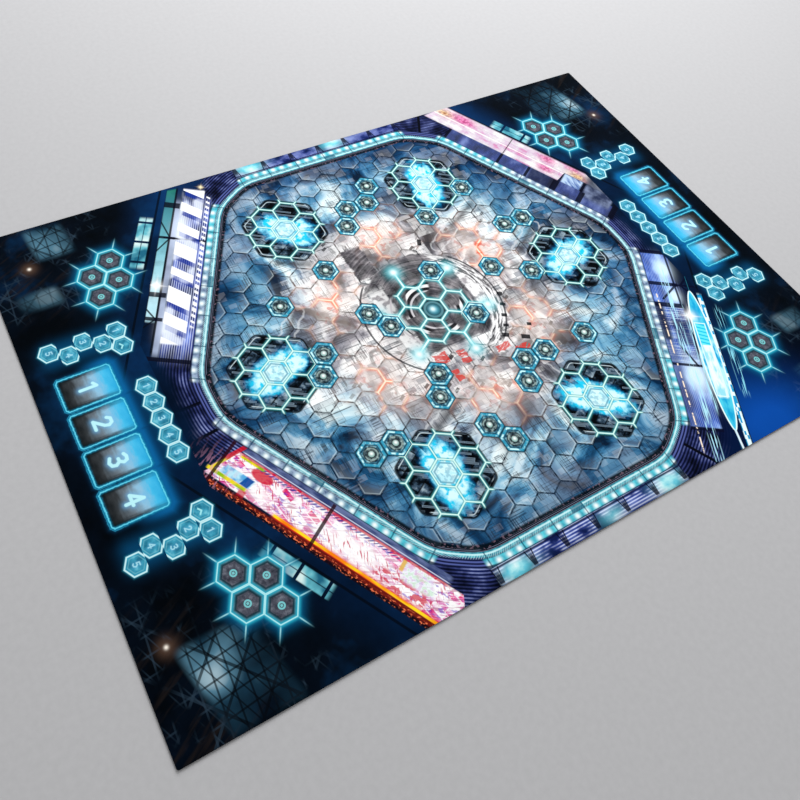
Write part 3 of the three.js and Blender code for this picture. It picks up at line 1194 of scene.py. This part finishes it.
def paint_small_cells(colour, end, mirrored):
    """Small teal cells with a pale outline, numbered one to five, and an arrow cell."""
    local, number, outside, marker, marker_outside = chain_cells(end, mirrored)
    nearest = smallest(outside, marker_outside)
    zigzag_x = largest(abs(end.x + 380) - 38, 0.0)
    zigzag_y = largest(abs(mirrored.y - 119) - 6, 0.0)
    chain = Point(largest(abs(end.x + 341) - 2, 0.0), largest(abs(end.y - 3) - 42, 0.0))
    halo = largest(bloom(Point(zigzag_x, zigzag_y).length(), 11), bloom(chain.length(), 11))
    colour = mix(colour, "07507e", halo * ease(end.x, -328, -335) * 0.55)
    fill = ramp(cloud(end, 8, detail=2), (0.3, "22708c"), (0.6, "3c9ab6"), (0.85, "74c8da"))
    colour = mix(colour, fill, ease(nearest, 0.4, -0.6))
    colour = mix(colour, "86ccd8", stroke(nearest + 3.0, 0.2, 0.5) * 0.4)
    colour = mix(colour, "2fa4c0", bloom(nearest + 0.4, 1.5) * 0.7)
    colour = mix(colour, "c9f2f6", stroke(nearest + 0.3, 0.42, 0.6) * 0.95)
    arrow = largest(abs(abs(marker.y) * 0.8 + marker.x) - 1.1, flat_hex(marker) - 4.2)
    colour = mix(colour, "a8f0f4", ease(arrow, 0.4, -0.4) * 0.85)
    return colour, local, number, outside


def card_place(end):
    """The big card spaces: the end seen from the nearest one, its number and how far outside it."""
    first = end - FIRST_CARD
    row = smallest(largest(maths("ROUND", first.y / -CARD_PITCH), 0.0), 3.0)
    local = Point(first.x + row * 0.7, first.y + row * CARD_PITCH)
    corner = abs(local.x) + abs(local.y) - (CARD_HALF[0] + CARD_HALF[1] - 2.5)
    return local, row + 1, largest(box(local, *CARD_HALF), corner * 0.7)


def paint_cards(colour, end):
    """Four card spaces: dark brushed metal that turns pale, then bright blue, towards the arena."""
    local, number, outside = card_place(end)
    colour = mix(colour, "0c74b8", bloom(largest(outside, 0.0), 8) * ease(local.x, -10, 26) * 0.9)
    colour = mix(colour, "083a60", bloom(largest(outside, 0.0), 3.5) * 0.7)
    grain = cloud(local.scaled(1.2, 0.5), 7, detail=3) - 0.5
    shine = (local.x + CARD_HALF[0]) * (0.5 / CARD_HALF[0]) + grain * 0.22
    fill = ramp(
        shine,
        (0.02, "0d1215"), (0.22, "33373a"), (0.45, "6d7a84"),
        (0.64, "8fc0dc"), (0.82, "46bce8"), (1.0, "2aa8dc"),
    )
    rows = cloud(local.scaled(0.1, 1), 2.0, detail=1)
    shade = ease(abs(local.y) + (rows - 0.5) * 5, 12.0, 18.5) * (1 - ease(local.x, 0, 28) * 0.5)
    fill = mix(fill, "091519", shade * 0.85)
    colour = mix(colour, fill, ease(outside, 0.3, -0.3))
    wobble = (cloud(end, 3.0, detail=2) - 0.5) * 1.6
    colour = mix(colour, "1b93bc", bloom(outside + wobble, 1.6) * 0.9)
    colour = mix(colour, "66d8f0", stroke(outside + wobble + 0.2, 0.3, 0.6) * 0.85)
    outer = stroke(outside - 1.9 + wobble, 0.2, 0.4) * ease(-local.x, 10, 24)
    colour = mix(colour, "2a8fb4", outer * 0.7)
    return colour, local, number, outside


def paint_numerals(colour, card, card_number, card_outside, small, small_number, small_outside):
    """One numeral, for whichever card or small cell is nearest, with its foot to the mat's end."""
    on_card = card_outside < small_outside
    x = choose(on_card, card.y * (-1 / CARD_NUMERAL), small.y * (-1 / CHAIN_NUMERAL))
    y = choose(on_card, card.x * (1 / CARD_NUMERAL), small.x * (1 / CHAIN_NUMERAL))
    number = choose(on_card, card_number, small_number)
    gap = digit(Point(x, y), number)
    strength = choose(on_card, 0.95, 0.6) * ease(smallest(card_outside, small_outside), 0.5, -0.5)
    colour = mix(colour, "6fb8ea", bloom(gap, 0.2) * strength * 0.6)
    return mix(colour, "bcf4fa", ease(gap, 0.12, 0.06) * strength)


def paint_cluster(colour, end, mirrored):
    """Four large glowing cells whose lattice lines run on as short spikes."""
    place = mirrored - CLUSTER_MIDDLE
    half = CLUSTER_PITCH / 2
    outside = smallest(*(flat_hex(place - cell) for cell in CLUSTER_CELLS)) - half
    shifted = place - CLUSTER_CELLS[0]
    local, _ = hex_cells(Point(shifted.y, shifted.x), CLUSTER_PITCH)
    edge = half - pointed_hex(local)
    colour = mix(colour, "075a86", bloom(largest(outside, 0.0), 7) * 0.7)
    spikes = ease(outside, 16, 1) * ease(outside, -1.5, 0)
    colour = mix(colour, "1a86a8", bloom(edge, 2.2) * spikes * 0.6)
    colour = mix(colour, "a9e8ee", stroke(edge, 0.3, 0.6) * spikes * 0.85)
    inside = ease(outside, 0.4, -0.4)
    grain = cloud(end, 6, detail=4, roughness=0.7)
    fill = ramp(grain, (0.3, "2c2f3a"), (0.55, "50535f"), (0.8, "7a7f8a"))
    colour = mix(colour, fill, inside)
    colour = mix(colour, "12262f", inside * stroke(edge - 4.6, 0.5, 0.8) * 0.85)
    colour = mix(colour, "35808f", inside * ease(edge, 4.4, 1.5) * 0.8)
    colour = mix(colour, "25a6c0", bloom(edge, 2.6) * inside)
    colour = mix(colour, "25a6c0", bloom(outside, 2.0) * 0.9)
    colour = mix(colour, "b4f0f4", stroke(edge, 0.6, 0.8) * inside)
    icon = stroke(local.length() - 2.9, 0.55, 0.5)
    tick = largest(abs(local.x), abs(local.y)) - 1.2
    icon = largest(icon, ease(tick, 0.3, -0.3))
    return mix(colour, "7fd8dc", icon * inside * 0.8)


def paint_ends():
    """The print at the mat's two ends: hall, windows, cells and card spaces."""
    point = print_point()
    end = end_point(point)
    mirrored = Point(end.x, abs(end.y - CLUSTER_MIRROR_Y))
    colour = hall(point)
    colour = paint_hall_roof(colour, point, end)
    colour = paint_outer_windows(colour, point)
    colour = paint_cluster(colour, end, mirrored)
    colour, card, card_number, card_outside = paint_cards(colour, end)
    colour, small, small_number, small_outside = paint_small_cells(colour, end, mirrored)
    return paint_numerals(colour, card, card_number, card_outside, small, small_number, small_outside)


# ---------------------------------------------------------------- the pieces


def weave(pitch):
    """How high the yarns stand, from -1 to 1, in a plain weave."""
    x, y, _ = split_vector(object_place())
    turns = 2 * math.pi / pitch
    return maths("SINE", x * turns) * maths("SINE", y * turns)


def base_shader(colour, roughness):
    """Gives the material being made its colour and roughness, and returns its shader."""
    shader = tree.nodes.new("ShaderNodeBsdfPrincipled")
    feed(shader.inputs["Base Color"], colour)
    feed(shader.inputs["Roughness"], roughness)
    output = tree.nodes.new("ShaderNodeOutputMaterial")
    feed(output.inputs[0], shader.outputs[0])
    return shader


def surface(colour, roughness, height, depth, shine=0.1):
    """Finishes the material being made: its colour, roughness, relief and a low shine."""
    bump = tree.nodes.new("ShaderNodeBump")
    bump.inputs["Strength"].default_value = 0.4
    bump.inputs["Distance"].default_value = depth
    feed(bump.inputs["Height"], height)
    shader = base_shader(colour, roughness)
    shader.inputs["Specular IOR Level"].default_value = shine
    feed(shader.inputs["Normal"], bump.outputs[0])


def cloth_surface(colour):
    """Woven polyester: the print with painted shade that makes it a little darker between the yarns, and
    hardly any shine.
    """
    yarn = weave(WEAVE_PITCH)
    lint = cloud(print_point(), 2.0, detail=2)
    # Painted shade: the print is darkened by up to a tenth in the low valleys between the yarns.
    shaded_between_yarns = mix(colour, "000208", yarn * -0.05 + 0.05)
    surface(shaded_between_yarns, yarn * -0.04 + lint * 0.16 + 0.72, yarn, 0.05 * MM, shine=0.02)


def foam_material():
    """Black foam rubber: open pores in the cut edge and a fine moulded diamond grip underneath."""
    material = new_material("foam_rubber")
    place = object_place()
    metres_x, metres_y, _ = split_vector(place)
    x = metres_x * (1 / MM)
    y = metres_y * (1 / MM)
    pitch = GRIP_PITCH / MM
    grip = largest(abs(repeat(x + y, pitch)), abs(repeat(x - y, pitch)))
    pores = tree.nodes.new("ShaderNodeTexVoronoi")
    pores.inputs["Scale"].default_value = 1 / PORE_SIZE
    feed(pores.inputs["Vector"], place)
    pore = Field(pores.outputs["Distance"])
    _, _, upwards = split_vector(tree.nodes.new("ShaderNodeNewGeometry").outputs["Normal"])
    under = ease(upwards, -0.5, -0.9)
    tone = cloud(Point(x, y), 14, detail=4)
    colour = ramp(tone, (0.3, "121315"), (0.7, "1d1f21"))
    colour = mix(colour, "2a2c2f", ease(pore, 0.55, 0.2) * 0.5)
    colour = mix(colour, "26282b", ease(grip, 0.95, 1.15) * under * 0.6)
    height = pore * 0.25 + ease(grip, 0.8, 1.15) * under
    surface(colour, tone * 0.15 + 0.78, height, 0.15 * MM)
    return material


def film_material():
    """Grey hot-melt film, cloudy where it soaked into the cloth and the rubber."""
    material = new_material("hot_melt_film")
    soaked = cloud(print_point(), 3, detail=4)
    colour = ramp(soaked, (0.3, "3c4043"), (0.7, "5c6165"))
    surface(colour, soaked * 0.2 + 0.5, soaked, 0.05 * MM)
    return material


def plain_material(name, code, roughness):
    """A matt material with a faint cloudy variation of its colour."""
    material = new_material(name)
    tone = cloud(print_point(), 6, detail=4)
    base_shader(mix(srgb(code), "000000", tone * 0.1), roughness)
    return material


PRINTS = (
    ("arena_print", paint_arena),
    ("rail_print", paint_rail),
    ("top_and_bottom_print", paint_top_and_bottom),
    ("upper_right_print", paint_upper_right),
    ("upper_left_print", paint_upper_left),
    ("lower_left_print", paint_lower_left),
    ("lower_right_print", paint_lower_right),
    ("ends_print", paint_ends),
)


def print_number(place):
    """Which part of the print covers a place on the mat, as its number in PRINTS."""
    print_x, print_y = on_print(place.x, place.y)
    x = (print_x - ARENA_MIDDLE[0]) * ARENA_SQUEEZE[0]
    y = (print_y - ARENA_MIDDLE[1]) * ARENA_SQUEEZE[1]

    def beyond(distance_out):
        return any(
            x * math.cos(angle) + y * math.sin(angle) > size + distance_out
            for angle, size in border_sides()
        )

    if not beyond(RAIL_STARTS):
        return 0
    if not beyond(RAIL_ENDS):
        return 1
    direction = math.degrees(math.atan2(y, x)) % 360
    side = 30 + 60 * int(direction // 60)
    if side in (90, 270):
        return 2
    out = x * math.cos(math.radians(side)) + y * math.sin(math.radians(side)) - ARENA_SIDE
    if abs(print_x) > END_LINE or out > SIGN_ENDS[side]:
        return 7
    return {30: 3, 150: 4, 210: 5, 330: 6}[side]


def border_sides():
    """The twelve sides of the arena's border: direction and distance from its middle."""
    for number in range(6):
        yield SIXTH / 2 + number * SIXTH, ARENA_SIDE
        yield number * SIXTH, ARENA_CORNER


def print_cuts():
    """Every straight line where two parts of the print may meet: direction and distance."""
    for angle, size in border_sides():
        yield angle, size + RAIL_STARTS
        yield angle, size + RAIL_ENDS
    for side, distance in SIGN_ENDS.items():
        yield math.radians(side), ARENA_SIDE + distance
    for number in range(3):
        yield SIXTH * number + math.pi / 2, 0.0


def cut_prints(work):
    """Cuts the cloth's faces along the lines where two parts of the print meet."""
    lines = []
    for angle, distance in print_cuts():
        normal = Vector((math.cos(angle) * ARENA_SQUEEZE[0], math.sin(angle) * ARENA_SQUEEZE[1]))
        start_x = math.cos(angle) * distance / ARENA_SQUEEZE[0] + ARENA_MIDDLE[0]
        start_y = math.sin(angle) * distance / ARENA_SQUEEZE[1] + ARENA_MIDDLE[1]
        lines.append((on_mat(start_x, start_y), normal))
    for x in (-END_LINE, END_LINE):
        lines.append((on_mat(x, 0), Vector((1, 0))))
    for start, normal in lines:
        cut(work, start, Matrix.Rotation(PRINT_TURN, 2) @ normal)


def cut(work, start, normal):
    """Cuts every face along an upright plane."""
    geometry = work.verts[:] + work.edges[:] + work.faces[:]
    bmesh.ops.bisect_plane(work, geom=geometry, plane_co=(*start, 0), plane_no=(*normal, 0), dist=1e-6)


def cut_outline(size, inset):
    """The mat's outline seen from above: a rectangle with small round corners."""
    radius = CUT_CORNER - inset
    half_x = size.x / 2 - CUT_CORNER
    half_y = size.y / 2 - CUT_CORNER
    points = []
    for turn, (sign_x, sign_y) in enumerate(((1, 1), (-1, 1), (-1, -1), (1, -1))):
        for step in range(ARC_STEPS + 1):
            angle = (turn + step / ARC_STEPS) * math.pi / 2
            points.append((
                sign_x * half_x + math.cos(angle) * radius,
                sign_y * half_y + math.sin(angle) * radius,
            ))
    return points


def outwards(place, size):
    """The direction straight out of the mat's edge at a place on its outline."""
    half_x = size.x / 2 - CUT_CORNER
    half_y = size.y / 2 - CUT_CORNER
    inner = Vector((max(-half_x, min(half_x, place.x)), max(-half_y, min(half_y, place.y)), place.z))
    return (place - inner).normalized()


def extend_rim(work, size, steps):
    """Grows the mesh's open edge outwards and up or down, one ring of faces for each step."""
    rim = [edge for edge in work.edges if edge.is_boundary]
    for out, rise in steps:
        grown = bmesh.ops.extrude_edge_only(work, edges=rim)["geom"]
        rim = [item for item in grown if isinstance(item, bmesh.types.BMEdge) and item.is_boundary]
        for vertex in {vertex for edge in rim for vertex in edge.verts}:
            vertex.co += outwards(vertex.co, size) * out + Vector((0, 0, rise))


def rolled_edge(steps=4):
    """Moves that carry an edge through a quarter circle, from flat on top to straight down."""
    angles = [number * math.pi / 2 / steps for number in range(steps + 1)]
    for start, end in zip(angles, angles[1:]):
        yield (
            EDGE_ROLL * (math.sin(end) - math.sin(start)),
            EDGE_ROLL * (math.cos(end) - math.cos(start)),
        )


def add_piece(name, work):
    """Puts a finished mesh in the scene as a piece of the mat."""
    for face in work.faces:
        face.smooth = True
    mesh = bpy.data.meshes.new(name)
    work.to_mesh(mesh)
    work.free()
    piece = bpy.data.objects.new(name, mesh)
    bpy.context.scene.collection.objects.link(piece)
    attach(piece, "root")
    return piece


def top_face(size, height):
    """The flat top of a layer inside its rolled edge, cut into a square grid."""
    work = bmesh.new()
    work.faces.new([work.verts.new((x, y, height)) for x, y in cut_outline(size, EDGE_ROLL)])
    reach = int(size.x / 2 / GRID_PITCH - 0.5)
    for number in range(-reach, reach + 1):
        cut(work, (number * GRID_PITCH, 0), (1, 0))
        cut(work, (0, number * GRID_PITCH), (0, 1))
    return work


def build_cloth():
    """The printed cloth: a flat sheet whose cut edge rolls down to the film."""
    low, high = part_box("printed_cloth_face")
    size = high - low
    work = top_face(size, high.z)
    cut_prints(work)
    extend_rim(work, size, [*rolled_edge(), (0, EDGE_ROLL - size.z)])
    for face in work.faces:
        face.material_index = print_number(face.calc_center_median())
    cloth = add_piece("printed_cloth", work)
    for name, paint in PRINTS:
        material = new_material(name)
        cloth_surface(paint())
        cloth.data.materials.append(material)
    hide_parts("printed_cloth_face")


def build_foam():
    """The foam rubber base: a slab with softened edges above and below."""
    low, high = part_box("rubber_base")
    size = high - low
    work = top_face(size, high.z)
    underside = [(-out, rise) for out, rise in reversed(list(rolled_edge()))]
    extend_rim(work, size, [*rolled_edge(), (0, -(size.z - 2 * EDGE_ROLL)), *underside])
    bmesh.ops.contextual_create(work, geom=[edge for edge in work.edges if edge.is_boundary])
    foam = add_piece("foam_rubber_base", work)
    foam.data.materials.append(foam_material())
    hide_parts("rubber_base")


def finish_film():
    """The bonding film keeps its CAD shape and gets its material."""
    film = frame["nodes"]["bonding_film"]
    film.data.materials.clear()
    film.data.materials.append(film_material())


# ---------------------------------------------------------------- the stage

CAMERA_PLACE = Vector((-0.4316, -0.3480, 0.6700))
CAMERA_TARGET = Vector((-0.1721, -0.0057, 0.0))
CAMERA_ROLL = math.radians(10.73)
CAMERA_LENS = 32.60
CAMERA_SENSOR = 36.0
CAMERA_SHIFT = (0.1125, -0.04375)
FLOOR_HALF = 6.0
SKY_STRENGTH = 0.5
SOFTBOX_PLACE = Vector((0.8, 1.4, 1.5))
SOFTBOX_SIZE = 1.6
SOFTBOX_WATTS = 62


def build_camera():
    camera = bpy.data.cameras.new("camera")
    camera.lens = CAMERA_LENS
    camera.sensor_width = CAMERA_SENSOR
    camera.shift_x, camera.shift_y = CAMERA_SHIFT
    camera.clip_start = 0.01
    holder = bpy.data.objects.new("camera", camera)
    bpy.context.scene.collection.objects.link(holder)
    aim = (CAMERA_TARGET - CAMERA_PLACE).to_track_quat("-Z", "Y")
    holder.matrix_world = (
        Matrix.Translation(CAMERA_PLACE)
        @ aim.to_matrix().to_4x4()
        @ Matrix.Rotation(CAMERA_ROLL, 4, "Z")
    )
    bpy.context.scene.camera = holder


def build_floor():
    mesh = bpy.data.meshes.new("floor")
    corners = ((-1, -1), (1, -1), (1, 1), (-1, 1))
    mesh.from_pydata([(x * FLOOR_HALF, y * FLOOR_HALF, 0) for x, y in corners], [], [(0, 1, 2, 3)])
    floor = bpy.data.objects.new("floor", mesh)
    bpy.context.scene.collection.objects.link(floor)
    mesh.materials.append(plain_material("floor_paint", "b4b4b6", 0.9))


def build_lights():
    world = bpy.context.scene.world or bpy.data.worlds.new("World")
    bpy.context.scene.world = world
    world.use_nodes = True
    background = world.node_tree.nodes["Background"]
    background.inputs[0].default_value = (1, 1, 1, 1)
    background.inputs[1].default_value = SKY_STRENGTH
    light = bpy.data.lights.new("softbox", "AREA")
    light.size = SOFTBOX_SIZE
    light.energy = SOFTBOX_WATTS
    holder = bpy.data.objects.new("softbox", light)
    bpy.context.scene.collection.objects.link(holder)
    holder.location = SOFTBOX_PLACE
    holder.rotation_euler = (-SOFTBOX_PLACE).to_track_quat("-Z", "Y").to_euler()


bpy.context.scene.view_settings.view_transform = "Standard"
build_camera()
build_floor()
build_lights()
build_cloth()
build_foam()
finish_film()
